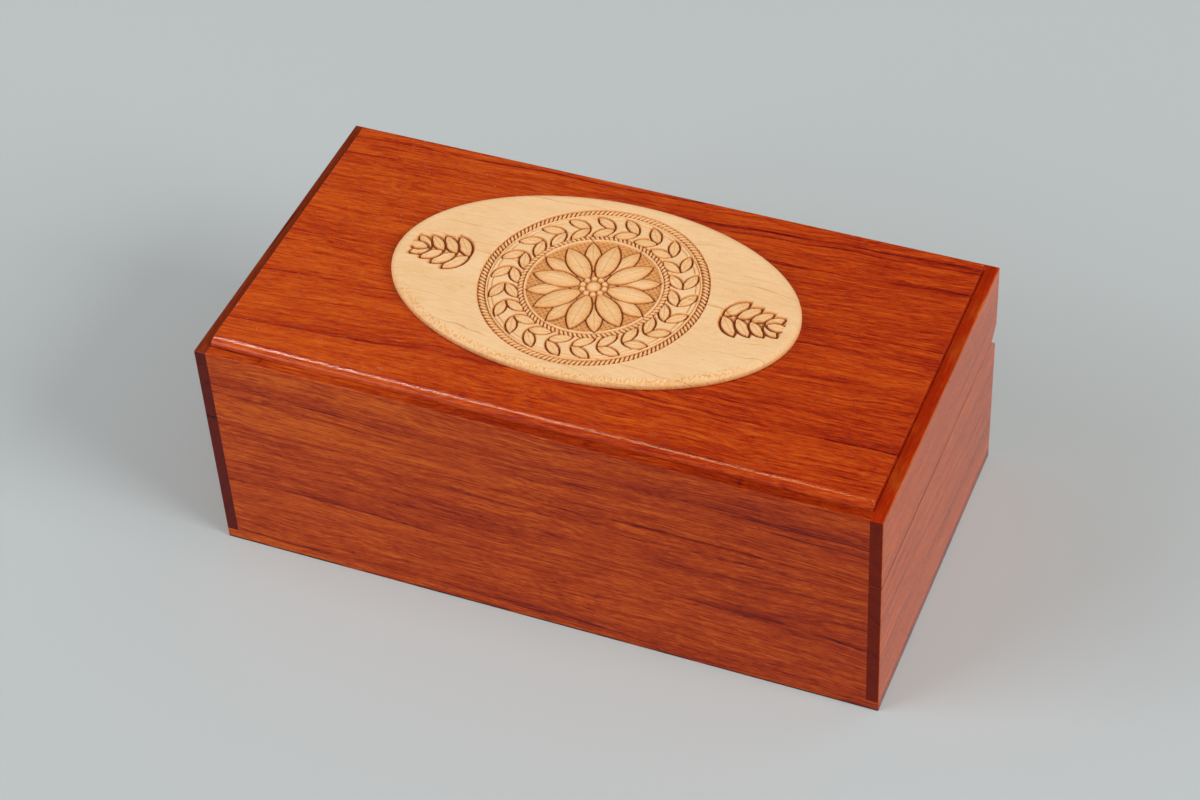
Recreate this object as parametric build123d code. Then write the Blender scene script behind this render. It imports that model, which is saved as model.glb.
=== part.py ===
from build123d import *
import math
import os

# Keepsake box of solid hardwood, in millimetres.
# +X is to the right along the front, +Y to the back, +Z up.
# The origin is the middle of the underside, on the surface that the box stands on.
# The walls are glued up as one closed box and sawn apart at the seam, so each
# wall is a lower board on the box and an upper board on the lid.

# ---- driving dimensions ----
width = 260.0               # outside, along X
depth = 137.0               # outside, along Y
wall_top = 96.5             # top edges of the lid's walls, above the ground
seam_height = 64.3          # middle of the saw cut between box and lid
seam_gap = 0.2              # what the saw cut leaves open when the lid is shut
wall = 11.0                 # thickness of all four walls
corner_lip = 4.7            # thickness of side wall left over the long walls' ends
base_thickness = 4.6        # board planted under the walls

panel_thickness = 8.0
panel_rise = 2.7            # panel's top above the walls' top edges
panel_ledge = 4.0           # wall's top edge left bare in front of the panel
panel_back_ledge = 3.3      # the same behind it
panel_round = 2.7           # radius along the panel's front edge
panel_slope_reach = 3.2     # sanded slope above that rounding, from the panel's edge inwards
panel_slope_drop = 0.64     # how far the slope falls over its reach
panel_slope_blend = 5.0     # radius where the slope runs out of the flat top
panel_end_gap = 0.25        # open joint between the panel's ends and the side walls
panel_side_gap = 0.1        # the same, to the front and back walls

medallion_length = 156.0
medallion_breadth = 96.0
medallion_thickness = 3.2
medallion_round = 1.8
medallion_x = -4.0          # centre of the medallion
medallion_y = 5.3

lining_thickness = 1.5
lining_gap = 0.5            # the felt is cut this much short of each wall

hinge_inset = 45.0          # middle of the hinge, from the outside of the side wall
barrel_radius = 3.0
barrel_length = 14.0        # depth of the barrel's blind hole, from the seam
knuckle_clearance = 0.15    # around the knuckles, and between them and the bore
tongue_thickness = 1.6      # the lid barrel's knuckle
cheek_clearance = 0.05      # between the tongue and each ear
pin_radius = 0.8
pin_clearance = 0.05        # the tongue turns on the pin
stop_clearance = 0.05       # between the two chamfers when the lid stands open

arris = 0.4                 # eased outer edges
fine_arris = 0.2            # eased edges along the saw cut and around the panel

# ---- derived places ----
half_width = width / 2
half_depth = depth / 2
lip_face = half_width - corner_lip
wall_face_x = half_width - wall
wall_face_y = half_depth - wall
box_rim = seam_height - seam_gap / 2
lid_rim = seam_height + seam_gap / 2
panel_top = wall_top + panel_rise
panel_seat = panel_top - panel_thickness
hinge_x = half_width - hinge_inset
hinge_y = half_depth - wall / 2
knuckle_radius = (barrel_radius - knuckle_clearance) / math.sqrt(2)
pocket_radius = knuckle_radius + knuckle_clearance
tongue_face = tongue_thickness / 2
ear_face = tongue_face + cheek_clearance
ear_end = knuckle_radius

LEFT, RIGHT = -1, 1
FRONT, BACK = -1, 1
rounding = 0.001            # how far an edge may be from its nominal place


def block(x, y, z):
    """A rectangular board between the two places given along each axis, in any order."""
    (x0, x1), (y0, y1), (z0, z1) = (sorted(pair) for pair in (x, y, z))
    centre = Pos((x0 + x1) / 2, (y0 + y1) / 2, (z0 + z1) / 2)
    return centre * Box(x1 - x0, y1 - y0, z1 - z0)


def edges_at_height(board, z):
    return board.edges().filter_by_position(Axis.Z, z - rounding, z + rounding)


def outer_edges(board, z):
    """The board's edges at one height that run along the outside of the box."""
    level = edges_at_height(board, z)
    near_x = half_width - arris
    near_y = half_depth - arris
    return [e for e in level if abs(e.center().X) > near_x or abs(e.center().Y) > near_y]


def corner_edges(board):
    """The board's upright edges at the outside corners of the box."""
    upright = board.edges().filter_by(Axis.Z)
    at_side = [e for e in upright if abs(abs(e.center().X) - half_width) < fine_arris]
    return [e for e in at_side if abs(abs(e.center().Y) - half_depth) < fine_arris]


# ---- the hinge line, where box and lid fit each other ----
def chamfer_waste(up, clearance):
    """What the 45 degree chamfer at the back takes off: above the box's back edge (up 1) or
    below the lid's (up -1). Both slopes start at the hinge's axis, so they meet as the lid
    reaches 90 degrees and stop it there."""
    start = hinge_y - clearance
    reach = wall
    outline = Polyline(
        (start, seam_height),
        (start + reach, seam_height - up * reach),
        (start + reach, seam_height + up * reach),
        (start, seam_height + up * reach),
        close=True,
    )
    return extrude(Plane.YZ * make_face(outline), width, both=True)


above_box = chamfer_waste(1, 0)
below_lid = chamfer_waste(-1, stop_clearance)


def barrel_blank(side, z0, z1):
    """A hinge barrel's full cylinder, or the hole drilled for it."""
    return Pos(side * hinge_x, hinge_y, (z0 + z1) / 2) * Cylinder(barrel_radius, z1 - z0)


def along_pin(side, x0, x1, radius):
    """A disc about the hinge's axis, from x0 to x1 off the middle of that hinge."""
    centre = Pos(side * hinge_x + (x0 + x1) / 2, hinge_y, seam_height)
    return centre * Rot(0, 90, 0) * Cylinder(radius, x1 - x0)


def hinge_box_barrel(side):
    """Lower barrel: two ears stand up through the seam, with the tongue's pocket between."""
    barrel = barrel_blank(side, seam_height - barrel_length, box_rim) - above_box
    barrel -= along_pin(side, -ear_face, ear_face, pocket_radius)
    barrel += along_pin(side, ear_face, ear_end, knuckle_radius)
    barrel += along_pin(side, -ear_end, -ear_face, knuckle_radius)
    return barrel - along_pin(side, -ear_end, ear_end, pin_radius)


def hinge_lid_barrel(side):
    """Upper barrel: a tongue hangs down through the seam, with a pocket for each ear beside it."""
    pocket_end = ear_end + knuckle_clearance
    barrel = barrel_blank(side, lid_rim, seam_height + barrel_length) - below_lid
    barrel -= along_pin(side, tongue_face, pocket_end, pocket_radius)
    barrel -= along_pin(side, -pocket_end, -tongue_face, pocket_radius)
    barrel += along_pin(side, -tongue_face, tongue_face, knuckle_radius)
    return barrel - along_pin(side, -tongue_face, tongue_face, pin_radius + pin_clearance)


def hinge_pin(side):
    """Cross pin, pressed into the ears."""
    return along_pin(side, -ear_end, ear_end, pin_radius)


def barrel_holes(z0, z1):
    """The two blind holes for the barrels in one of the back walls."""
    return [barrel_blank(side, z0, z1) for side in (LEFT, RIGHT)]


# ---- walls, lower boards on the box and upper boards on the lid ----
def long_wall(end, z0, z1):
    """Front or back wall, standing between the side walls' lips."""
    return block((-lip_face, lip_face), (end * half_depth, end * wall_face_y), (z0, z1))


def side_wall(side, z0, z1):
    """Left or right wall, rebated at its ends to lap over the front and back walls."""
    board = block((side * half_width, side * wall_face_x), (-half_depth, half_depth), (z0, z1))
    for end in (FRONT, BACK):
        rebate_y = (end * half_depth, end * wall_face_y)
        board -= block((side * lip_face, side * wall_face_x), rebate_y, (z0, z1))
    return fillet(corner_edges(board), arris)


def panel_rebate():
    """What is cut out of the lid walls' inner top edges to seat the panel."""
    y = (panel_ledge - half_depth, half_depth - panel_back_ledge)
    return block((-lip_face, lip_face), y, (panel_seat, panel_top))


def finish_box_board(board):
    """A wall of the box: chamfered behind the hinge line and eased along the saw cut."""
    board = fillet(outer_edges(board, box_rim), fine_arris)
    return board - above_box


def finish_lid_board(board):
    """A wall of the lid: rebated for the panel, chamfered behind the hinge line, and eased."""
    board = fillet(outer_edges(board, wall_top), arris)
    board = fillet(outer_edges(board, lid_rim), fine_arris)
    return board - panel_rebate() - below_lid


def box_back_wall():
    return finish_box_board(long_wall(BACK, base_thickness, box_rim)) - barrel_holes(
        seam_height - barrel_length, seam_height
    )


def lid_back_wall():
    return finish_lid_board(long_wall(BACK, lid_rim, wall_top)) - barrel_holes(
        seam_height, seam_height + barrel_length
    )


def base_board():
    board = block((-half_width, half_width), (-half_depth, half_depth), (0, base_thickness))
    board = fillet(corner_edges(board), arris)
    return fillet(outer_edges(board, 0), arris)


def base_lining():
    x = wall_face_x - lining_gap
    y = wall_face_y - lining_gap
    return block((-x, x), (-y, y), (base_thickness, base_thickness + lining_thickness))


# ---- the lid's top ----
def round_corner(section, y, z, radius):
    """The section with its corner at one place rounded."""
    corners = [v for v in section.vertices() if math.hypot(v.X - y, v.Y - z) < rounding]
    return fillet(corners, radius)


def lid_panel():
    """Flat board whose front edge falls off in a sanded slope and then a rounding."""
    x = lip_face - panel_end_gap
    front = panel_ledge + panel_side_gap - half_depth
    back = half_depth - panel_back_ledge - panel_side_gap
    slope_top = front + panel_slope_reach
    slope_foot = panel_top - panel_slope_drop
    outline = Polyline(
        (front, panel_seat),
        (front, slope_foot),
        (slope_top, panel_top),
        (back, panel_top),
        (back, panel_seat),
        close=True,
    )
    section = round_corner(make_face(outline), front, slope_foot, panel_round)
    section = round_corner(section, slope_top, panel_top, panel_slope_blend)
    section = round_corner(section, back, panel_top, fine_arris)
    board = extrude(Plane.YZ * section, x, both=True)
    return fillet(edges_at_height(board, panel_top).filter_by(Axis.Y), fine_arris)


def medallion():
    plate = extrude(Ellipse(medallion_length / 2, medallion_breadth / 2), medallion_thickness)
    plate = fillet(edges_at_height(plate, medallion_thickness), medallion_round)
    return Pos(medallion_x, medallion_y, panel_top) * plate


# ---- every piece in its place ----
pieces = {
    "base_board": base_board(),
    "base_lining": base_lining(),
    "box_front_wall": finish_box_board(long_wall(FRONT, base_thickness, box_rim)),
    "box_back_wall": box_back_wall(),
    "lid_front_wall": finish_lid_board(long_wall(FRONT, lid_rim, wall_top)),
    "lid_back_wall": lid_back_wall(),
    "lid_panel": lid_panel(),
    "medallion": medallion(),
}
for name, side in (("left", LEFT), ("right", RIGHT)):
    pieces[f"box_{name}_wall"] = finish_box_board(side_wall(side, base_thickness, box_rim))
    pieces[f"lid_{name}_wall"] = finish_lid_board(side_wall(side, lid_rim, wall_top))
    pieces[f"{name}_hinge_box_barrel"] = hinge_box_barrel(side)
    pieces[f"{name}_hinge_lid_barrel"] = hinge_lid_barrel(side)
    pieces[f"{name}_hinge_pin"] = hinge_pin(side)

os.makedirs("parts", exist_ok=True)
for name, piece in pieces.items():
    export_step(piece, f"parts/{name}.step")
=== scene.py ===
import math

import bpy
import numpy as np
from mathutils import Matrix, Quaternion, Vector


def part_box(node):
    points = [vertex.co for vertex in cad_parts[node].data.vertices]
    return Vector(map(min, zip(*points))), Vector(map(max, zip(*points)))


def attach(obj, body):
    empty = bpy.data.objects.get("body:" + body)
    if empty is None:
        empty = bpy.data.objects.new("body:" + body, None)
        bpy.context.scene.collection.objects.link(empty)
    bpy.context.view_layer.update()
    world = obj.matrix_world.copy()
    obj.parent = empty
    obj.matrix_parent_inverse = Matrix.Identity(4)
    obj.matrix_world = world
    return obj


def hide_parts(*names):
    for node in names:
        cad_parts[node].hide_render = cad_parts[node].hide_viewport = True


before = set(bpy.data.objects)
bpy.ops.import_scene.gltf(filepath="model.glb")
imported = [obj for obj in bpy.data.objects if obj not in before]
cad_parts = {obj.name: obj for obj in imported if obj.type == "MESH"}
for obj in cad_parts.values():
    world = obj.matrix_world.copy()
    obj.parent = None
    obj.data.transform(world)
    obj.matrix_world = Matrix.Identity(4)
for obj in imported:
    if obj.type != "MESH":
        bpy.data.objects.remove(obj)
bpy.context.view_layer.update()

# Looks of a keepsake box: hardwood boards, a carved maple oval on the lid, brass barrel
# hinges and a felt lining. Sizes are in millimetres and are turned to metres by mm.
mm = 0.001
IN_MM = (1000, 1000, 1000)  # turns a material's own coordinates, in metres, to millimetres
rng = np.random.default_rng(11)

# ---- camera ----
CAMERA_PLACE = Vector((328.5, -725.5, 813.3)) * mm
CAMERA_AZIMUTH = 24.49      # degrees to the right of straight on
CAMERA_ELEVATION = 43.75
CAMERA_ROLL = 3.705
CAMERA_LENS = 88.74         # on a 36 mm wide sensor

# ---- light ----
ROOM_LIGHT = 0.44           # even light from all round
ROOM_TINT = (0.925, 1.015, 1.12, 1.0)
LAMP_DISTANCE = 3.0         # metres from the box to each lamp
LAMP_TARGET = Vector((0.0, 0.0, 0.05))
DARK_PARTS = ((117.0, 44.0), (-130.0, 60.0))    # azimuth and elevation of the room's dim parts

# ---- the hardwood's colours, from its dark veins to its palest streaks ----
LID_TONES = (
    (0.0, "#440503"), (0.2, "#741203"), (0.41, "#942003"), (0.62, "#AF3606"),
    (0.8, "#C0480B"), (1.0, "#CE5A12"),
)
WALL_TONES = (
    (0.0, "#3F0803"), (0.2, "#681103"), (0.41, "#8A2103"), (0.62, "#A73507"),
    (0.8, "#BB470C"), (1.0, "#D05E14"),
)
SIDE_TONES = (
    (0.0, "#742208"), (0.2, "#94340B"), (0.41, "#A43D0D"), (0.62, "#B04610"),
    (0.8, "#BC4E12"), (1.0, "#D05C1C"),
)
# the left plank's tones, darker than the right's: painted shade, for the panel's shadow over the
# left wall's top
LEFT_SHADED_TONES = (
    (0.0, "#521406"), (0.2, "#641D0A"), (0.41, "#70240C"), (0.62, "#7C2C10"),
    (0.8, "#853314"), (1.0, "#8E3A16"),
)
WALL_ENDS = "#9C6450"       # what the walls' end grain multiplies its colour by
LEFT_ENDS = "#BE6A43"
PANEL_ENDS = "#E6C8B8"
WALL_IOR = 1.25
SIDE_IOR = 1.2
PANEL_IOR = 1.36

# ---- the hardwood's figure, in millimetres ----
# streaks along the grain: how long and wide each kind is, how fine its detail, and how strong
# it shows; the last two are finer in life
STREAKS = (
    (190, 13, 1.0, 0.34), (60, 5, 2.0, 0.34), (44, 1.8, 2.0, 0.42), (20, 1.3, 2.0, 0.32),
    (18, 0.65, 3.0, 0.84), (4.0, 0.5, 2.0, 0.66),
)
VEINS = ((9.0, 90, 8), (3.1, 40, 3.5))      # spacing, and length and width of their patches
UNEVEN_GROWTH = 2.2         # by how many rings the growth runs ahead or behind
MIDDLE_TONE = 0.70          # the wood's mean place between its darkest and palest tone
STRIP_BLUR = 0.1            # softness of a tinted strip's edges
ALL_ALONG = 200             # half length of a strip that runs past both ends of a board
MAPLE_RINGS = 6.5           # growth lines' spacing in the maple

# ---- carved oval, about its own centre, in millimetres ----
RIM_REACH = 3.0             # how far in from the edge the rounding starts
RIM_DROP = 1.8
RIM_STEPS = 12              # rings of faces over the rounding
FACES_KEPT = 0.45           # share of its faces that the oval keeps, fewest where it is flat
PLAIN_SHARE = 0.93          # the carved and flat part, as a share of the oval
UNDERCUT = 0.3              # small bevel under the edge, above which the foot is painted with shade
ROPE_RING = 40.9            # middle of the outer rope
ROPE_WIDTH = 3.3
FILLET_RING = 37.9          # middle of the plain ridge inside the rope, between two grooves
GROOVE_WIDTH = 0.75
GROOVE_DEPTH = 0.55
WREATH_RING = 32.3          # where the wreath's leaves start
MIDRIB_DEPTH = 0.34         # the cuts in every leaf and petal
MIDRIB_WIDTH = 0.26
SIDE_VEIN_DEPTH = 0.09
SIDE_VEIN_SPACING = 1.6
INNER_ROPE_RING = 26.6
INNER_ROPE_WIDTH = 2.5
STRAND_PITCH = 1.75
ROPE_LAY = 52               # degrees that the strands slant across the rope
ROPE_DEPTH = 1.2
MOAT_WIDTH = 1.1            # sloping cut around each leaf
SPRIG_START = 50.0          # the sprigs' stems: where along X, how long, and how far up along Y
SPRIG_LENGTH = 16.5
SPRIG_HEIGHT = 0.6
SPRIG_MOAT = 1.6
ROSETTE_RADIUS = 24.9       # its punched ground's edge, and how far in that edge slopes
GROUND_SLOPE = 0.35
GROUND_DEPTH = 0.75
PUNCH_DEPTH = 0.5           # deeper than the ground round it
PUNCH_SPACING = 2.2
MOAT_DEPTH = 1.5
STAIN_SHADE_DEPTH = 1.75          # depth at which the cuts are brownest, in their stain and their painted shade
MARKS_FROM = -15            # Y from which small marks dot the front shoulder
MARKS_FULL = -30
OVAL_FOOT_SHADE_TOP = -2.7        # Z from which the oval's foot is painted with shade, where it stands on the lid
OVAL_FOOT_SHADE_FULL = -2.95


# ======== materials ========
def linear(hex_colour):
    """An sRGB hex colour as linear red, green, blue and alpha."""
    channels = [int(hex_colour[i:i + 2], 16) / 255 for i in (1, 3, 5)]
    return [c / 12.92 if c <= 0.04045 else ((c + 0.055) / 1.055) ** 2.4 for c in channels] + [1.0]


def add(tree, kind, inputs=None, stops=(), **settings):
    """Adds a node with its settings. Each input, by name or number, takes a value, or a node or
    socket to link from. A colour ramp also takes its stops: rising places with hex colours."""
    node = tree.nodes.new(kind)
    for name, value in settings.items():
        setattr(node, name, value)
    for key, value in (inputs or {}).items():
        if isinstance(value, bpy.types.Node):
            value = value.outputs[0]
        if isinstance(value, bpy.types.NodeSocket):
            tree.links.new(value, node.inputs[key])
        else:
            node.inputs[key].default_value = value
    for i, (place, colour) in enumerate(stops):
        ramp = node.color_ramp.elements     # a new ramp has two stops already
        stop = ramp[i] if i < 2 else ramp.new(place)
        stop.position = place
        stop.color = linear(colour)
    return node


def blank_material(name):
    """A material with only its shader and its output, and the shader."""
    material = bpy.data.materials.new(name)
    material.use_nodes = True
    material.node_tree.nodes.clear()
    tree = material.node_tree
    shader = add(tree, "ShaderNodeBsdfPrincipled")
    add(tree, "ShaderNodeOutputMaterial", {"Surface": shader})
    return material, tree, shader


def drawn_out(tree, place, length, width, detail=2.0, roughness=0.5):
    """Soft patches from 0 to 1, about length mm long with the grain and width mm across it."""
    size = (1 / length, 1 / width, 1 / width)
    scaled = add(tree, "ShaderNodeVectorMath", {0: place, 1: size}, operation="MULTIPLY")
    settings = {"Vector": scaled, "Scale": 1.0, "Detail": detail, "Roughness": roughness}
    return add(tree, "ShaderNodeTexNoise", settings)


def grown_veins(tree, place, ring):
    """The dark veins along the growth lines, broken into patches: first the wide-set ones."""
    layers = []
    for spacing, patch_length, patch_width in VEINS:
        steps = add(tree, "ShaderNodeTexNoise", {"W": ring, "Scale": 0.9 / spacing, "Detail": 1.0},
                    noise_dimensions="1D")
        count = add(tree, "ShaderNodeMath", {0: ring, 1: 1 / spacing}, operation="MULTIPLY")
        count = add(tree, "ShaderNodeMath", {0: steps, 1: UNEVEN_GROWTH, 2: count},
                    operation="MULTIPLY_ADD")
        whole = add(tree, "ShaderNodeMath", {0: count}, operation="FLOOR")
        part = add(tree, "ShaderNodeMath", {0: count}, operation="FRACT")
        line = add(tree, "ShaderNodeValToRGB", {"Fac": part}, stops=(
            (0.0, "#FFFFFF"), (0.03, "#BBBBBB"), (0.08, "#757575"), (0.2, "#4A4A4A"),
            (0.5, "#1A1A1A"), (0.8, "#000000"), (0.96, "#303030"), (1.0, "#FFFFFF"),
        ))
        own_weight = add(tree, "ShaderNodeTexWhiteNoise", {"W": whole}, noise_dimensions="1D")
        weight = add(tree, "ShaderNodeMapRange", {
            "Value": own_weight, "To Min": 0.25,
        }, interpolation_type="SMOOTHSTEP")
        patches = add(tree, "ShaderNodeMapRange", {
            "Value": drawn_out(tree, place, patch_length, patch_width),
            "From Min": 0.40, "From Max": 0.60, "To Min": 0.08,
        }, interpolation_type="SMOOTHSTEP")
        shown = add(tree, "ShaderNodeMath", {0: weight, 1: patches}, operation="MULTIPLY")
        layers.append(add(tree, "ShaderNodeMath", {0: line, 1: shown}, operation="MULTIPLY"))
    return layers


def tinted_strips(tree, colour, place, board, strips):
    """The colour, multiplied in each strip by the strip's tint, unevenly. A strip's middle and
    half size are in millimetres, and it lies on both sides of the box alike."""
    if not strips:
        return colour
    both_sides = add(tree, "ShaderNodeVectorMath", {0: place}, operation="ABSOLUTE")
    breaks = add(tree, "ShaderNodeMapRange", {
        "Value": drawn_out(tree, board, 22, 22), "From Min": 0.35, "From Max": 0.55, "To Min": 0.3,
    }, interpolation_type="SMOOTHSTEP")
    for middle, half, tint in strips:
        past = add(tree, "ShaderNodeVectorMath", {0: both_sides, 1: Vector(middle) * mm},
                   operation="SUBTRACT")
        past = add(tree, "ShaderNodeVectorMath", {0: past}, operation="ABSOLUTE")
        past = add(tree, "ShaderNodeVectorMath", {0: past, 1: Vector(half) * mm},
                   operation="SUBTRACT")
        past = add(tree, "ShaderNodeSeparateXYZ", {0: past}).outputs
        furthest = add(tree, "ShaderNodeMath", {0: past["X"], 1: past["Y"]}, operation="MAXIMUM")
        furthest = add(tree, "ShaderNodeMath", {0: furthest, 1: past["Z"]}, operation="MAXIMUM")
        share = add(tree, "ShaderNodeMapRange", {
            "Value": furthest, "From Min": -STRIP_BLUR * mm, "From Max": STRIP_BLUR * mm,
            "To Min": 1.0, "To Max": 0.0,
        }, interpolation_type="SMOOTHSTEP")
        share = add(tree, "ShaderNodeMath", {0: share, 1: breaks}, operation="MULTIPLY")
        colour = add(tree, "ShaderNodeMix", {0: share, 6: colour, 7: linear(tint)},
                     data_type="RGBA", blend_type="MULTIPLY").outputs[2]
    return colour


def red_hardwood(name, tones, ends, ior, start, heart, along_y=False, slant=0.0, fade=0.0,
                 strips=()):
    """Red Australian hardwood, planed, sanded and rubbed with a satin oil and wax finish: long
    brick-coloured streaks in a clear orange red, thin broken dark veins along the growth lines,
    short fibres, little glare from above, and less still with the lower IOR of wood rubbed
    drier, and ends that drink the oil and turn darker by the colour given. The grain runs along
    X, or along Y, give or take a slant in degrees. The log's heart lies so far across from and
    above the box's origin, and start slides the pattern along the log, all in millimetres. The
    plank turns darker towards +X, by fade per metre. Strips give the wood another tint: painted
    shade in the sawn seam, a painted shadow along the foot, and darker, redder wall tops."""
    material, tree, shader = blank_material(name)
    own = add(tree, "ShaderNodeTexCoord")
    turn = math.radians(slant - (90 if along_y else 0))
    heart_across, heart_up = heart
    board = add(tree, "ShaderNodeMapping", {
        "Vector": own.outputs["Object"],
        "Scale": IN_MM,
        "Rotation": (0, 0, turn),
        "Location": (start, -heart_across, -heart_up),
    })

    # growth lines: distance from the heart, wandering slowly and then in small kinks
    slow = drawn_out(tree, board, 150, 45, 1.0).outputs["Color"]
    bent = add(tree, "ShaderNodeVectorMath", {0: slow, 1: (0, 17, 17), 2: board},
               operation="MULTIPLY_ADD")
    kinks = drawn_out(tree, bent, 24, 9, 1.0).outputs["Color"]
    kinked = add(tree, "ShaderNodeVectorMath", {0: kinks, 1: (0, 2.6, 2.6), 2: bent},
                 operation="MULTIPLY_ADD")
    across = add(tree, "ShaderNodeVectorMath", {0: kinked, 1: (0, 1, 1)}, operation="MULTIPLY")
    ring = add(tree, "ShaderNodeVectorMath", {0: across}, operation="LENGTH").outputs["Value"]
    wide_veins, close_veins = grown_veins(tree, kinked, ring)

    # how pale each place is: streaks along the grain, less the pores and the veins
    value = MIDDLE_TONE - 0.5 * sum(strength for _, _, _, strength in STREAKS)
    for length, width, detail, strength in STREAKS:
        streak = drawn_out(tree, kinked, length, width, detail)
        value = add(tree, "ShaderNodeMath", {0: streak, 1: strength, 2: value},
                    operation="MULTIPLY_ADD")
    fibres = streak     # the last kind, which also roughens the surface
    pores = add(tree, "ShaderNodeMapRange", {
        "Value": drawn_out(tree, board, 2.6, 0.45, 1.0), "From Min": 0.62, "From Max": 0.72,
    }, interpolation_type="SMOOTHSTEP")
    for layer, weight in ((pores, -0.20), (close_veins, -0.48), (wide_veins, -0.66)):
        value = add(tree, "ShaderNodeMath", {0: layer, 1: weight, 2: value},
                    operation="MULTIPLY_ADD")
    right = add(tree, "ShaderNodeSeparateXYZ", {0: own.outputs["Object"]}).outputs["X"]
    value = add(tree, "ShaderNodeMath", {0: right, 1: -fade, 2: value}, operation="MULTIPLY_ADD")
    colour = add(tree, "ShaderNodeValToRGB", {"Fac": value}, stops=tones)

    # end grain, where the board's own normal points along its grain
    along = (0, 1, 0) if along_y else (1, 0, 0)
    facing = add(tree, "ShaderNodeVectorMath", {0: own.outputs["Normal"], 1: along},
                 operation="DOT_PRODUCT").outputs["Value"]
    facing = add(tree, "ShaderNodeMath", {0: facing}, operation="ABSOLUTE")
    end_grain = add(tree, "ShaderNodeMapRange", {
        "Value": facing, "From Min": 0.75, "From Max": 0.95,
    }, interpolation_type="SMOOTHSTEP")
    colour = add(tree, "ShaderNodeMix", {0: end_grain, 6: colour, 7: linear(ends)},
                 data_type="RGBA", blend_type="MULTIPLY").outputs[2]
    colour = tinted_strips(tree, colour, own.outputs["Object"], board, strips)
    tree.links.new(colour, shader.inputs["Base Color"])

    sheen = add(tree, "ShaderNodeMath", {0: fibres, 1: 0.08, 2: 0.13}, operation="MULTIPLY_ADD")
    tree.links.new(sheen.outputs[0], shader.inputs["Roughness"])
    shader.inputs["IOR"].default_value = ior
    relief = add(tree, "ShaderNodeMath", {0: pores, 1: -0.6, 2: fibres}, operation="MULTIPLY_ADD")
    bump = add(tree, "ShaderNodeBump", {"Height": relief, "Strength": 0.3, "Distance": 0.15 * mm})
    tree.links.new(bump.outputs[0], shader.inputs["Normal"])
    return material


def browning(tree, place, board, centre, long, short):
    """What multiplies the maple's colour: brown by depth inside the rim, which is stain with
    painted shade in the cuts; brown in small marks over the front shoulder; and painted shade at
    the foot."""
    spot = add(tree, "ShaderNodeVectorMath", {0: place, 1: centre * mm}, operation="SUBTRACT")
    parts = add(tree, "ShaderNodeSeparateXYZ", {0: spot}).outputs
    round_spot = add(tree, "ShaderNodeVectorMath", {0: spot, 1: (1000 / long, 1000 / short, 0)},
                     operation="MULTIPLY")
    share = add(tree, "ShaderNodeVectorMath", {0: round_spot}, operation="LENGTH").outputs["Value"]
    carved = add(tree, "ShaderNodeMapRange", {
        "Value": share, "From Min": 0.92, "From Max": 0.96, "To Min": 1.0, "To Max": 0.25,
    }, interpolation_type="SMOOTHSTEP")
    # brown by depth in the cuts: their stain, with painted shade there too
    cut = add(tree, "ShaderNodeMapRange", {
        "Value": parts["Z"], "From Min": -STAIN_SHADE_DEPTH * mm, "From Max": 0.0,
        "To Min": 1.0, "To Max": 0.0,
    })
    cut = add(tree, "ShaderNodeMath", {0: cut, 1: carved}, operation="MULTIPLY")

    shoulder = add(tree, "ShaderNodeMapRange", {
        "Value": share, "From Min": 0.935, "From Max": 0.955,
    }, interpolation_type="SMOOTHSTEP")
    outer = add(tree, "ShaderNodeMapRange", {
        "Value": share, "From Min": 0.965, "From Max": 1.0, "To Min": 1.0, "To Max": 0.35,
    }, interpolation_type="SMOOTHSTEP")
    front = add(tree, "ShaderNodeMapRange", {
        "Value": parts["Y"], "From Min": MARKS_FULL * mm, "From Max": MARKS_FROM * mm,
        "To Min": 1.0, "To Max": 0.0,
    }, interpolation_type="SMOOTHSTEP")
    ticks = add(tree, "ShaderNodeMapRange", {
        "Value": drawn_out(tree, board, 0.7, 1.4, 0.0), "From Min": 0.45, "From Max": 0.60,
    }, interpolation_type="SMOOTHSTEP")
    for layer in (outer, front, ticks):
        shoulder = add(tree, "ShaderNodeMath", {0: shoulder, 1: layer}, operation="MULTIPLY")
    cut = add(tree, "ShaderNodeMath", {0: shoulder, 1: 0.32, 2: cut}, operation="MULTIPLY_ADD")

    # painted shade on the oval's foot, where it stands on the lid
    oval_foot_shade = add(tree, "ShaderNodeMapRange", {
        "Value": parts["Z"], "From Min": OVAL_FOOT_SHADE_FULL * mm, "From Max": OVAL_FOOT_SHADE_TOP * mm,
        "To Min": 0.8, "To Max": 0.0,
    }, interpolation_type="SMOOTHSTEP")
    cut = add(tree, "ShaderNodeMath", {0: cut, 1: oval_foot_shade}, operation="ADD")
    fuzz = drawn_out(tree, board, 2.5, 0.9, 2.0)
    stained_and_shaded = add(tree, "ShaderNodeMath", {0: fuzz, 1: 0.25, 2: cut}, operation="MULTIPLY_ADD")
    return add(tree, "ShaderNodeValToRGB", {"Fac": stained_and_shaded}, stops=(
        (0.15, "#FFFFFF"), (0.40, "#F8E4C4"), (0.62, "#DDB27A"), (0.84, "#B4743A"),
        (1.0, "#84481C"),
    ))


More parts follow.
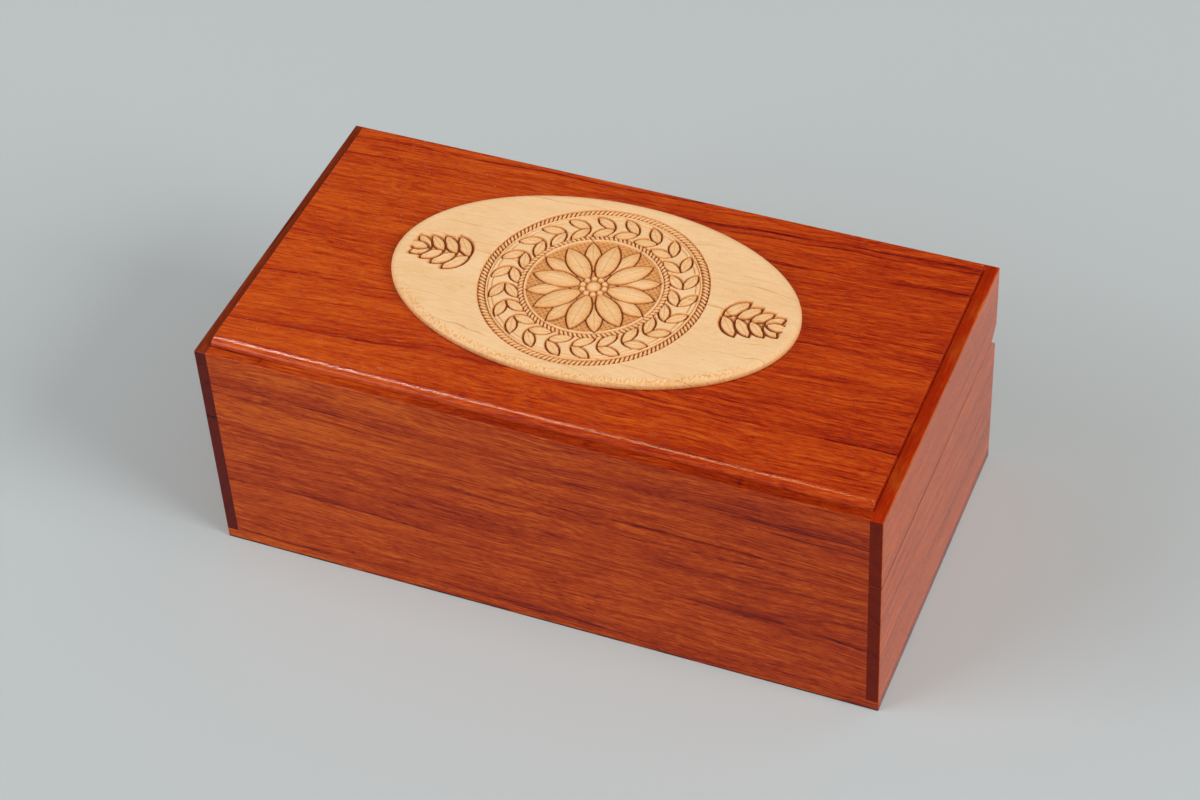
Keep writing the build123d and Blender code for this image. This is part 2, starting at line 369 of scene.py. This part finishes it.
def maple(name, grain_start, centre, long, short):
    """Rock maple, routed and left pale under thin lacquer: cream with faint wavy growth lines
    and specks, browner where the cutter went deep and the sanding didn't reach, and darker there
    still with painted shade in the cuts. The oval's top centre and half lengths, in millimetres,
    tell how deep a place lies."""
    material, tree, shader = blank_material(name)
    own = add(tree, "ShaderNodeTexCoord")
    board = add(tree, "ShaderNodeMapping", {
        "Vector": own.outputs["Object"],
        "Scale": IN_MM,
        "Location": (grain_start, 0, 0),
    })
    slow = drawn_out(tree, board, 34, 12, 2.0).outputs["Color"]
    bent = add(tree, "ShaderNodeVectorMath", {0: slow, 1: (0, 11, 0), 2: board},
               operation="MULTIPLY_ADD")
    across = add(tree, "ShaderNodeSeparateXYZ", {0: bent}).outputs["Y"]
    steps = add(tree, "ShaderNodeTexNoise", {"W": across, "Scale": 0.2, "Detail": 1.0},
                noise_dimensions="1D")
    count = add(tree, "ShaderNodeMath", {0: across, 1: 1 / MAPLE_RINGS}, operation="MULTIPLY")
    count = add(tree, "ShaderNodeMath", {0: steps, 1: UNEVEN_GROWTH, 2: count},
                operation="MULTIPLY_ADD")
    part = add(tree, "ShaderNodeMath", {0: count}, operation="FRACT")
    line = add(tree, "ShaderNodeValToRGB", {"Fac": part}, stops=(
        (0.0, "#FFFFFF"), (0.05, "#606060"), (0.18, "#202020"), (0.5, "#000000"),
        (0.98, "#000000"), (1.0, "#FFFFFF"),
    ))
    patches = add(tree, "ShaderNodeMapRange", {
        "Value": drawn_out(tree, bent, 26, 7), "From Min": 0.38, "From Max": 0.62, "To Min": 0.15,
    }, interpolation_type="SMOOTHSTEP")
    lines = add(tree, "ShaderNodeMath", {0: line, 1: patches}, operation="MULTIPLY")
    clouds = drawn_out(tree, board, 30, 12, 2.0)
    fibres = drawn_out(tree, bent, 5, 0.6, 3.0, 0.6)
    specks = add(tree, "ShaderNodeMapRange", {
        "Value": drawn_out(tree, board, 1.1, 0.7, 0.0), "From Min": 0.70, "From Max": 0.78,
    }, interpolation_type="SMOOTHSTEP")
    cloud_weight, fibre_weight = 0.35, 0.5
    value = 0.62 - 0.5 * (cloud_weight + fibre_weight)
    layers = ((clouds, cloud_weight), (fibres, fibre_weight), (specks, -0.12), (lines, -0.6))
    for layer, weight in layers:
        value = add(tree, "ShaderNodeMath", {0: layer, 1: weight, 2: value},
                    operation="MULTIPLY_ADD")
    pale = add(tree, "ShaderNodeValToRGB", {"Fac": value}, stops=(
        (0.0, "#C08040"), (0.35, "#E2AE74"), (0.62, "#F1C28E"), (1.0, "#FAD6AC"),
    ))
    brown = browning(tree, own.outputs["Object"], board, centre, long, short)
    colour = add(tree, "ShaderNodeMix", {0: 1.0, 6: pale, 7: brown}, data_type="RGBA",
                 blend_type="MULTIPLY")
    tree.links.new(colour.outputs[2], shader.inputs["Base Color"])
    shader.inputs["Roughness"].default_value = 0.5
    shader.inputs["IOR"].default_value = 1.45
    bump = add(tree, "ShaderNodeBump", {"Height": fibres, "Strength": 0.25, "Distance": 0.15 * mm})
    tree.links.new(bump.outputs[0], shader.inputs["Normal"])
    return material


def wool_felt(name):
    """Pressed wool felt, dark green: matted hairs in every direction, a soft bloom of loose
    ends at grazing angles, and slight clouds where the wool is thicker."""
    material, tree, shader = blank_material(name)
    own = add(tree, "ShaderNodeTexCoord")
    cloth = add(tree, "ShaderNodeVectorMath", {0: own.outputs["Object"], 1: IN_MM},
                operation="MULTIPLY")
    clouds = drawn_out(tree, cloth, 14, 14, 2.0)
    hairs = drawn_out(tree, cloth, 0.9, 0.9, 4.0, 0.7)     # coarser than real hairs, so as to show
    strands = add(tree, "ShaderNodeTexVoronoi", {"Vector": cloth, "Scale": 0.9},
                  feature="DISTANCE_TO_EDGE")
    value = add(tree, "ShaderNodeMath", {0: clouds, 1: 0.6, 2: -0.35}, operation="MULTIPLY_ADD")
    value = add(tree, "ShaderNodeMath", {0: hairs, 1: 0.9, 2: value}, operation="MULTIPLY_ADD")
    value = add(tree, "ShaderNodeMath", {0: strands, 1: 0.25, 2: value}, operation="MULTIPLY_ADD")
    colour = add(tree, "ShaderNodeValToRGB", {"Fac": value}, stops=(
        (0.15, "#0E2A1C"), (0.5, "#1F4A33"), (0.85, "#3A6B4C"),
    ))
    tree.links.new(colour.outputs[0], shader.inputs["Base Color"])
    shader.inputs["Roughness"].default_value = 0.95
    shader.inputs["Sheen Weight"].default_value = 0.12
    shader.inputs["Sheen Roughness"].default_value = 0.5
    shader.inputs["Specular IOR Level"].default_value = 0.2
    bump = add(tree, "ShaderNodeBump", {"Height": hairs, "Strength": 0.8, "Distance": 0.3 * mm})
    tree.links.new(bump.outputs[0], shader.inputs["Normal"])
    return material


def turned_brass(name):
    """Free-cutting brass, turned on a lathe: fine rings round the barrel and a faint brown
    tarnish in patches, which dulls the shine."""
    material, tree, shader = blank_material(name)
    own = add(tree, "ShaderNodeTexCoord")
    barrel = add(tree, "ShaderNodeVectorMath", {0: own.outputs["Object"], 1: IN_MM},
                 operation="MULTIPLY")
    height = add(tree, "ShaderNodeSeparateXYZ", {0: barrel}).outputs["Z"]
    rings = add(tree, "ShaderNodeTexNoise", {"W": height, "Scale": 1 / 0.3, "Detail": 2.0},
                noise_dimensions="1D")
    tarnish = drawn_out(tree, barrel, 2.5, 2.5, 3.0)
    colour = add(tree, "ShaderNodeValToRGB", {"Fac": tarnish}, stops=(
        (0.35, "#B08A45"), (0.7, "#E0BE72"),
    ))
    tree.links.new(colour.outputs[0], shader.inputs["Base Color"])
    dull = add(tree, "ShaderNodeMapRange", {
        "Value": tarnish, "From Min": 0.35, "From Max": 0.7, "To Min": 0.42, "To Max": 0.24,
    }, interpolation_type="SMOOTHSTEP")
    tree.links.new(dull.outputs[0], shader.inputs["Roughness"])
    shader.inputs["Metallic"].default_value = 1.0
    bump = add(tree, "ShaderNodeBump", {"Height": rings, "Strength": 0.4, "Distance": 0.05 * mm})
    tree.links.new(bump.outputs[0], shader.inputs["Normal"])
    return material


def backdrop_paper(name):
    """Pale grey background paper: matt, even and without texture at this distance. Far from the
    box it keeps its own colour, whatever the lamps do there."""
    material, tree, shader = blank_material(name)
    tone = linear("#BDC1C2")
    shader.inputs["Base Color"].default_value = tone
    shader.inputs["Roughness"].default_value = 0.9
    shader.inputs["Specular IOR Level"].default_value = 0.2
    own = add(tree, "ShaderNodeTexCoord").outputs["Object"]
    away = add(tree, "ShaderNodeVectorMath", {0: own}, operation="LENGTH").outputs["Value"]
    far = add(tree, "ShaderNodeMapRange", {"Value": away, "From Min": 1.0, "From Max": 3.0},
              interpolation_type="SMOOTHSTEP")
    light_path = add(tree, "ShaderNodeLightPath")
    seen = add(tree, "ShaderNodeMath", {
        0: light_path.outputs["Is Camera Ray"],
        1: light_path.outputs["Is Glossy Ray"],
    }, operation="MAXIMUM")
    seen = add(tree, "ShaderNodeMath", {0: seen, 1: light_path.outputs["Is Transmission Ray"]},
               operation="MAXIMUM")
    share = add(tree, "ShaderNodeMath", {0: far, 1: seen}, operation="MULTIPLY")
    glow = add(tree, "ShaderNodeEmission", {"Color": tone})
    mixed = add(tree, "ShaderNodeMixShader", {0: share, 1: shader, 2: glow})
    output = next(node for node in tree.nodes if node.bl_idname == "ShaderNodeOutputMaterial")
    tree.links.new(mixed.outputs[0], output.inputs["Surface"])
    return material


# ======== meshes ========
def mesh_object(name, points, faces, material):
    """A new smooth object at the origin, with its points in millimetres turned to metres."""
    mesh = bpy.data.meshes.new(name)
    mesh.from_pydata((np.asarray(points) * mm).tolist(), [], faces)
    mesh.polygons.foreach_set("use_smooth", [True] * len(mesh.polygons))
    mesh.materials.append(material)
    mesh.update()
    made = bpy.data.objects.new(name, mesh)
    bpy.context.collection.objects.link(made)
    return made


def settle(made):
    """Makes the modifiers' result the object's own mesh and takes the modifiers off."""
    graph = bpy.context.evaluated_depsgraph_get()
    result = bpy.data.meshes.new_from_object(made.evaluated_get(graph))
    made.modifiers.clear()
    old = made.data
    made.data = result
    result.name = old.name + "_mesh"
    bpy.data.meshes.remove(old)
    return made


# ---- the carving's cutter marks, as depth below the oval's flat face ----
def edge_distance(x, y):
    """How far a place is inside the oval's edge, in millimetres."""
    share = np.maximum(np.hypot(x / oval_long, y / oval_short), 1e-6)
    steep = np.hypot(x / oval_long ** 2, y / oval_short ** 2) / share
    return (1 - share) / np.maximum(steep, 1e-6)


def rim_fall(x, y):
    """How far the rounded rim has fallen below the flat face."""
    t = np.clip(1 - edge_distance(x, y) / RIM_REACH, 0, 1)
    return RIM_DROP * (1 - np.sqrt(1 - t ** 2))


def cut_ring(depth, r, middle, width, deep):
    """A ring-shaped channel with steep sides."""
    wall = 0.3
    return np.maximum(depth, deep * np.clip((width / 2 - abs(r - middle)) / wall, 0, 1))


def cut_leaf(depth, x, y, base, angle, length, width, lowest=0.35, moat_width=MOAT_WIDTH):
    """One leaf from its base outwards: pillowed, with a midrib and side veins, in its own moat."""
    half, side = length / 2, width / 2
    radius = (half ** 2 + side ** 2) / (2 * side)
    c, s = math.cos(angle), math.sin(angle)
    u = (x - base[0]) * c + (y - base[1]) * s - half
    v = (y - base[1]) * c - (x - base[0]) * s
    gap = np.hypot(u, abs(v) + radius - side) - radius
    moat = MOAT_DEPTH * np.clip(1.5 * (1 - gap / moat_width), 0, 1)
    crown = np.sqrt(np.clip(-gap / side, 0, 1))
    midrib = MIDRIB_DEPTH * np.exp(-(v / MIDRIB_WIDTH) ** 2) * (abs(u) < 0.82 * half)
    wave = np.cos(2 * math.pi * (u - 0.9 * abs(v)) / SIDE_VEIN_SPACING)
    side_veins = SIDE_VEIN_DEPTH * np.clip(wave, 0, 1)
    leaf = lowest * (1 - crown) + 0.03 + midrib + side_veins * (crown > 0.3)
    return np.where(gap < 0, leaf, np.maximum(depth, moat))


def wreath(depth, x, y):
    """Laurel leaves in pairs, all round the band between the two ropes."""
    pairs, half_gap = 22, 0.5
    for i in range(pairs):
        around = 2 * math.pi * i / pairs
        for side in (1, -1):
            start = WREATH_RING + side * half_gap
            base = (start * math.cos(around), start * math.sin(around))
            lean = around + math.pi / 2 - side * math.radians(33)
            depth = cut_leaf(depth, x, y, base, lean, length=8.2, width=3.5)
    return depth


def rosette(depth, x, y, r):
    """A rose of two rows of petals on a punched ground, with a beaded heart."""
    wave = 2 * math.pi / PUNCH_SPACING
    dots = np.clip(np.cos(wave * x) * np.cos(wave * y), 0, 1) ** 2
    ground = GROUND_DEPTH + PUNCH_DEPTH * dots
    depth = np.maximum(depth, ground * np.clip((ROSETTE_RADIUS - r) / GROUND_SLOPE, 0, 1))
    # each row's reach, start and petal width: the row behind, half a petal on, and the front one
    petals = 8
    for reach, start, width, turn in ((24.2, 9.0, 5.6, 0.5), (23.4, 4.6, 7.6, 0.0)):
        for i in range(petals):
            around = 2 * math.pi * (i + turn) / petals
            base = (start * math.cos(around), start * math.sin(around))
            depth = cut_leaf(depth, x, y, base, around, reach - start, width, lowest=0.7)
    heart_radius, heart_depth = 5.6, 1.15
    depth = np.where(r < heart_radius, heart_depth, depth)
    beads, bead_ring, bead_radius = 10, 4.2, 1.15
    for i in range(beads):
        around = 2 * math.pi * i / beads
        away = np.hypot(x - bead_ring * math.cos(around), y - bead_ring * math.sin(around))
        bead = heart_depth - np.sqrt(np.clip(bead_radius ** 2 - away ** 2, 0, None)) * 0.95
        depth = np.where(away < bead_radius, np.minimum(depth, bead), depth)
    dome_radius, dome_height = 2.7, 1.05
    dome = heart_depth - dome_height * np.sqrt(np.clip(1 - (r / dome_radius) ** 2, 0, 1))
    return np.where(r < dome_radius, np.minimum(depth, dome), depth)


def sprig(depth, x, y, side):
    """A twig that points out to one end of the oval, its leaves smaller and closer to the stem
    towards the tip."""
    pairs, half_gap, bare_tip = 4, 0.5, 1.0
    for i in range(pairs):
        share = i / (pairs - 1)
        stem = SPRIG_START + (SPRIG_LENGTH - bare_tip) * share
        for up in (1, -1):
            lean = up * math.radians(52 - 16 * share)
            angle = lean if side > 0 else math.pi - lean
            base = (side * stem, SPRIG_HEIGHT + up * half_gap)
            length, width = 10.6 - 3.4 * share, 4.3 - 1.2 * share
            depth = cut_leaf(depth, x, y, base, angle, length, width, moat_width=SPRIG_MOAT)
    tip = (side * (SPRIG_START + SPRIG_LENGTH), SPRIG_HEIGHT)
    way = 0 if side > 0 else math.pi
    return cut_leaf(depth, x, y, tip, way, length=7.5, width=3.3, moat_width=SPRIG_MOAT)


def carving(x, y):
    """How deep the cutter went at each place."""
    r = np.hypot(x, y)
    depth = np.zeros_like(x)
    depth = cut_ring(depth, r, FILLET_RING + GROOVE_WIDTH, GROOVE_WIDTH, GROOVE_DEPTH)
    depth = cut_ring(depth, r, FILLET_RING - GROOVE_WIDTH, GROOVE_WIDTH, GROOVE_DEPTH)
    depth = wreath(depth, x, y)
    depth = cut_ring(depth, r, ROPE_RING, ROPE_WIDTH, ROPE_DEPTH)
    depth = cut_ring(depth, r, INNER_ROPE_RING, INNER_ROPE_WIDTH, ROPE_DEPTH)
    depth = rosette(depth, x, y, r)
    depth = sprig(depth, x, y, 1)
    return sprig(depth, x, y, -1)


def carved_top():
    """The oval's carved and flat part as a fine grid, squeezed onto its oval border: its points,
    its quads, and the border as edges, which are the sides that only one quad has."""
    step = 0.25
    columns = int(oval_long * PLAIN_SHARE / step) + 2
    rows = int(oval_short * PLAIN_SHARE / step) + 2
    x, y = np.meshgrid(np.arange(-columns, columns + 1) * step, np.arange(-rows, rows + 1) * step)
    share = np.hypot(x / oval_long, y / oval_short)
    inside = share < PLAIN_SHARE
    cell = inside[:-1, :-1] | inside[1:, :-1] | inside[:-1, 1:] | inside[1:, 1:]
    number = np.arange(x.size).reshape(x.shape)
    quads = np.stack([number[:-1, :-1], number[:-1, 1:], number[1:, 1:], number[1:, :-1]], -1)[cell]
    squeeze = np.where(inside, 1.0, PLAIN_SHARE / np.maximum(share, 1e-6))
    x, y = x * squeeze, y * squeeze
    top = np.stack([x, y, -carving(x, y) - rim_fall(x, y)], -1).reshape(-1, 3)
    sides = np.concatenate([quads[:, [i, (i + 1) % 4]] for i in range(4)])
    _, first, count = np.unique(np.sort(sides, 1), axis=0, return_index=True, return_counts=True)
    return top, quads, sides[first[count == 1]]


def carved_oval(material):
    """The maple oval: its carved top, then rings over its rounded rim, down its edge and under
    it, closed with a fan about the middle of its underside."""
    top, quads, border = carved_top()
    loop = np.unique(border)
    place = np.full(len(top), -1)
    place[loop] = np.arange(len(loop))
    start, end = place[border[:, 0]], place[border[:, 1]]
    points = [top]
    faces = quads.tolist()
    below, size = loop, len(top)
    for i in range(1, RIM_STEPS + 3):
        # the rings lie closer towards the edge, where the rounding is steepest
        out = 1 - (1 - PLAIN_SHARE) * (1 - min(i, RIM_STEPS) / RIM_STEPS) ** 1.4
        ring = top[loop] * (out / PLAIN_SHARE, out / PLAIN_SHARE, 0)
        if i <= RIM_STEPS:
            ring[:, 2] = -rim_fall(ring[:, 0], ring[:, 1])
        elif i == RIM_STEPS + 1:
            ring[:, 2] = UNDERCUT - oval_thick
        else:
            ring *= 1 - UNDERCUT / oval_short
            ring[:, 2] = -oval_thick
        above = np.arange(size, size + len(loop))
        faces += np.stack([below[end], below[start], above[start], above[end]], -1).tolist()
        points.append(ring)
        below, size = above, size + len(loop)
    faces += np.stack([below[end], below[start], np.full(len(start), size)], -1).tolist()
    points.append(np.array([[0, 0, -oval_thick]]))
    points = np.concatenate(points) + oval_centre

    oval = mesh_object("carved_oval", points, faces, material)
    thin = oval.modifiers.new("fewer_faces", "DECIMATE")
    thin.ratio = FACES_KEPT
    settle(oval)
    # the flat face is shaded flat, because smooth shading would bend its light near the cuts
    curved = [face.normal.z <= 0.999 for face in oval.data.polygons]
    oval.data.polygons.foreach_set("use_smooth", curved)
    return oval


def rope_tree():
    """Geometry nodes that lay slanting strands one after another round a ring."""
    tree = bpy.data.node_groups.new("rope_strands", "GeometryNodeTree")
    kinds = {"So Far": "Geometry", "Ring Radius": "Float", "Strands": "Int",
             "Strand Size": "Vector", "Lay": "Float", "Centre": "Vector", "Wood": "Material"}
    for label, kind in kinds.items():
        tree.interface.new_socket(label, in_out="INPUT", socket_type="NodeSocket" + kind)
    tree.interface.new_socket("Rope", in_out="OUTPUT", socket_type="NodeSocketGeometry")
    given = add(tree, "NodeGroupInput").outputs
    ring = add(tree, "GeometryNodeMeshCircle", {
        "Vertices": given["Strands"],
        "Radius": given["Ring Radius"],
    })
    ring = add(tree, "GeometryNodeTransform", {"Geometry": ring, "Translation": given["Centre"]})
    strand = add(tree, "GeometryNodeMeshUVSphere", {"Segments": 10, "Rings": 7, "Radius": 1.0})
    strand = add(tree, "GeometryNodeTransform", {
        "Geometry": strand,
        "Scale": given["Strand Size"],
    })
    index = add(tree, "GeometryNodeInputIndex")
    share = add(tree, "ShaderNodeMath", {0: index, 1: given["Strands"]}, operation="DIVIDE")
    turn = add(tree, "ShaderNodeMath", {0: share, 1: 2 * math.pi, 2: given["Lay"]},
               operation="MULTIPLY_ADD")
    uneven = add(tree, "FunctionNodeRandomValue", {2: -0.06, 3: 0.06, "Seed": 4},
                 data_type="FLOAT").outputs[1]
    turn = add(tree, "ShaderNodeMath", {0: turn, 1: uneven}, operation="ADD")
    turned = add(tree, "ShaderNodeCombineXYZ", {"Z": turn})
    laid = add(tree, "GeometryNodeInstanceOnPoints", {
        "Points": ring,
        "Instance": strand,
        "Rotation": turned,
    })
    both = add(tree, "GeometryNodeJoinGeometry", {"Geometry": laid})
    tree.links.new(given["So Far"], both.inputs["Geometry"])
    laid = add(tree, "GeometryNodeSetShadeSmooth", {"Geometry": both})
    laid = add(tree, "GeometryNodeRealizeInstances", {"Geometry": laid})
    laid = add(tree, "GeometryNodeSetMaterial", {"Geometry": laid, "Material": given["Wood"]})
    add(tree, "NodeGroupOutput", {"Rope": laid})
    return tree


def rope_rings(wood):
    """The two carved ropes in their channels, laid opposite ways, each from the rope's tree."""
    tree = rope_tree()
    ropes = bpy.data.objects.new("rope_rings", bpy.data.meshes.new("rope_rings"))
    bpy.context.collection.objects.link(ropes)
    twists = ((ROPE_RING, ROPE_WIDTH, ROPE_LAY), (INNER_ROPE_RING, INNER_ROPE_WIDTH, -ROPE_LAY))
    for middle, width, lay in twists:
        strand = (width * 0.6, STRAND_PITCH * 0.34, ROPE_DEPTH * 0.92)      # half sizes
        sizes = {
            "Ring Radius": middle * mm,
            "Strands": round(2 * math.pi * middle / STRAND_PITCH),
            "Strand Size": [half * mm for half in strand],
            "Lay": math.pi / 2 + math.radians(lay),
            "Centre": list((oval_centre - (0, 0, ROPE_DEPTH)) * mm),
            "Wood": wood,
        }
        nodes = ropes.modifiers.new("strands", "NODES")
        nodes.node_group = tree
        for socket in tree.interface.items_tree:
            if socket.name in sizes:
                nodes[socket.identifier] = sizes[socket.name]
    return settle(ropes)


def felt_lining(felt):
    """The felt on the bottom: a cut sheet with soft top edges and a slightly uneven nap."""
    low, high = [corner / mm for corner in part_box("base_lining")]
    spacing = 1.5
    edge_fall, edge_reach, nap_height = 0.2, 0.8, 0.09
    columns = round((high.x - low.x) / spacing) + 1
    rows = round((high.y - low.y) / spacing) + 1
    x, y = np.meshgrid(np.linspace(low.x, high.x, columns), np.linspace(low.y, high.y, rows))
    inward = np.minimum(np.minimum(x - low.x, high.x - x), np.minimum(y - low.y, high.y - y))
    edge_drop = edge_fall * np.exp(-(inward / edge_reach) ** 2)
    nap = nap_height * rng.random(x.shape)
    top = np.stack([x, y, high.z - edge_drop - nap], -1).reshape(-1, 3)
    number = np.arange(x.size).reshape(x.shape)
    cells = [number[:-1, :-1], number[:-1, 1:], number[1:, 1:], number[1:, :-1]]
    faces = np.stack(cells, -1).reshape(-1, 4).tolist()
    border = np.concatenate([number[0, :-1], number[:-1, -1], number[-1, :0:-1], number[:0:-1, 0]])
    under = top[border] * (1, 1, 0) + (0, 0, low.z)
    lower = np.arange(len(border)) + x.size
    following = np.roll(np.arange(len(border)), -1)
    faces += np.stack([border, lower, lower[following], border[following]], -1).tolist()
    faces.append(lower[::-1].tolist())
    sheet = mesh_object("felt_lining", np.concatenate([top, under]), faces, felt)
    # the cut edges are shaded flat, or their light would bleed into the top
    level = [face.normal.z > 0.5 for face in sheet.data.polygons]
    sheet.data.polygons.foreach_set("use_smooth", level)
    return sheet


# ======== the scene ========
def add_camera():
    """The camera, from its place, the way it looks and its roll."""
    azimuth = math.radians(CAMERA_AZIMUTH)
    elevation = math.radians(CAMERA_ELEVATION)
    sight = Vector((
        -math.sin(azimuth) * math.cos(elevation),
        math.cos(azimuth) * math.cos(elevation),
        -math.sin(elevation),
    ))
    data = bpy.data.cameras.new("camera")
    data.lens = CAMERA_LENS
    data.clip_end = 50.0
    camera = bpy.data.objects.new("camera", data)
    bpy.context.collection.objects.link(camera)
    level = sight.to_track_quat("-Z", "Y")
    camera.rotation_mode = "QUATERNION"
    camera.rotation_quaternion = Quaternion(sight, math.radians(CAMERA_ROLL)) @ level
    camera.location = CAMERA_PLACE
    bpy.context.scene.camera = camera


def towards(azimuth, elevation):
    """A direction, with its azimuth in degrees round from +X towards +Y."""
    a, e = math.radians(azimuth), math.radians(elevation)
    return Vector((math.cos(a) * math.cos(e), math.sin(a) * math.cos(e), math.sin(e)))


def add_softbox(name, azimuth, elevation, width, watts, colour, shadows=True):
    """A square lamp that looks at the box, of a width in metres."""
    data = bpy.data.lights.new(name, "AREA")
    data.shape = "SQUARE"
    data.size = width
    data.energy = watts
    data.color = colour
    data.use_shadow = shadows
    lamp = bpy.data.objects.new(name, data)
    bpy.context.collection.objects.link(lamp)
    way = towards(azimuth, elevation)
    lamp.location = way * LAMP_DISTANCE + LAMP_TARGET
    lamp.rotation_mode = "QUATERNION"
    lamp.rotation_quaternion = (-way).to_track_quat("-Z", "Y")


def add_room_light():
    """Even light, but for dim parts of the room that the lid's flat top and its bead mirror."""
    world = bpy.data.worlds.new("room")
    world.use_nodes = True
    tree = world.node_tree
    even = tree.nodes["Background"]
    even.inputs["Color"].default_value = ROOM_TINT
    way = add(tree, "ShaderNodeTexCoord").outputs["Generated"]
    strength = ROOM_LIGHT
    for dark_part in DARK_PARTS:
        facing = add(tree, "ShaderNodeVectorMath", {0: way, 1: towards(*dark_part)},
                     operation="DOT_PRODUCT").outputs["Value"]
        share = add(tree, "ShaderNodeMapRange", {
            "Value": facing, "From Min": 0.80, "From Max": 0.93, "To Min": 1.0, "To Max": 0.2,
        }, interpolation_type="SMOOTHSTEP")
        strength = add(tree, "ShaderNodeMath", {0: strength, 1: share}, operation="MULTIPLY")
    tree.links.new(strength.outputs[0], even.inputs["Strength"])
    bpy.context.scene.world = world


def add_backdrop():
    """One sheet of paper, as a floor that runs on behind the box."""
    reach = 40000.0     # past the edge of every view
    corners = [(-reach, -reach, 0), (reach, -reach, 0), (reach, reach, 0), (-reach, reach, 0)]
    floor = mesh_object("backdrop", corners, [(0, 1, 2, 3)], backdrop_paper("backdrop_paper"))


add_camera()
add_room_light()
add_softbox("right_softbox", -10, 32, width=1.4, watts=56, colour=(0.99, 1.015, 1.0))
add_softbox("left_softbox", -142, 28, width=2.2, watts=50, colour=(0.965, 1.01, 1.06))
# a far window behind, too dim to cast shadows of its own, that draws the light along the bead
add_softbox("window_left_pane", 143, 58, width=0.24, watts=10.5, colour=(1.0, 0.96, 0.88),
            shadows=False)
add_softbox("window_middle_pane", 136, 62, width=0.2, watts=4.0, colour=(1.0, 0.92, 0.74),
            shadows=False)
add_softbox("window_right_pane", 126, 67, width=0.34, watts=7.0, colour=(1.0, 0.78, 0.38),
            shadows=False)
add_backdrop()
bpy.context.scene.view_settings.view_transform = "Standard"

# ---- boards: each wall's two boards come from one plank, so the veins run on over the seam ----
lid_wall_low, lid_wall_high = [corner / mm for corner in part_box("lid_right_wall")]
half_width, half_depth, wall_top = lid_wall_high
seam = (lid_wall_low.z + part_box("box_right_wall")[1].z / mm) / 2
# painted shade in the sawn seam's gap between lid and box, on the side walls and at their ends,
# with some finish gathered there too
seam_shade = ((half_width, 0, seam), (0.5, ALL_ALONG, 0.3), "#6E4436")
seam_shade_end = ((half_width - 2.2, half_depth - 0.1, seam), (2.7, 0.4, 0.45), "#6E4436")
# painted shadow along the base's lowest edge, front and sides, where the box meets the floor
foot_shadow = ((0, half_depth, 0), (ALL_ALONG, 0.6, 0.9), "#4A3C30")
side_foot_shadow = ((half_width, 0, 0), (0.6, ALL_ALONG, 0.9), "#4A3C30")
side_ledge = ((half_width - 2.6, 0, wall_top), (2.2, ALL_ALONG, 0.3), "#E89A90")
front_ledge = ((0, half_depth - 2.2, wall_top), (ALL_ALONG, 2.0, 0.3), "#D6B4A8")
planks = {
    "front": red_hardwood("hardwood_front", WALL_TONES, WALL_ENDS, WALL_IOR, 0, (-30, -120),
                          slant=-1.0, fade=0.5, strips=[front_ledge]),
    "back": red_hardwood("hardwood_back", WALL_TONES, WALL_ENDS, WALL_IOR, 700, (30, -110),
                         slant=1.5),
    "left": red_hardwood("hardwood_left_shaded", LEFT_SHADED_TONES, LEFT_ENDS, WALL_IOR, 1500, (-100, -120),
                         along_y=True, strips=[seam_shade, seam_shade_end]),
    "right": red_hardwood("hardwood_right", SIDE_TONES, WALL_ENDS, SIDE_IOR, 2300, (90, -120),
                          along_y=True, strips=[seam_shade, seam_shade_end, side_ledge]),
    "panel": red_hardwood("hardwood_panel", LID_TONES, PANEL_ENDS, PANEL_IOR, 3100, (-190, 60),
                          slant=-3.0, fade=0.7),
    "base": red_hardwood("hardwood_base", WALL_TONES, PANEL_ENDS, WALL_IOR, 3900, (-170, -60),
                         fade=0.7, strips=[foot_shadow, side_foot_shadow]),
}
brass = turned_brass("turned_brass")
for node_name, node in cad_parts.items():
    finish = brass if "hinge" in node_name else None
    for plank, wood in planks.items():
        if plank in node_name and not finish:
            finish = wood
    if finish:
        node.data.materials.clear()
        node.data.materials.append(finish)

# ---- the carved oval, in the place and of the size that the frame gives ----
low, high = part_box("medallion")
oval_long, oval_short = [(high[i] - low[i]) / mm / 2 for i in (0, 1)]
oval_thick = (high.z - low.z) / mm
oval_centre = np.array([(high.x + low.x) / 2, (high.y + low.y) / 2, high.z]) / mm
maple_finish = maple("rock_maple", 60, Vector(oval_centre), oval_long, oval_short)
oval = carved_oval(maple_finish)
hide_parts("medallion")
for piece in (oval, rope_rings(maple_finish)):
    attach(piece, "lid")

# ---- the lining ----
lining = felt_lining(wool_felt("wool_felt"))
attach(lining, "box")
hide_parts("base_lining")
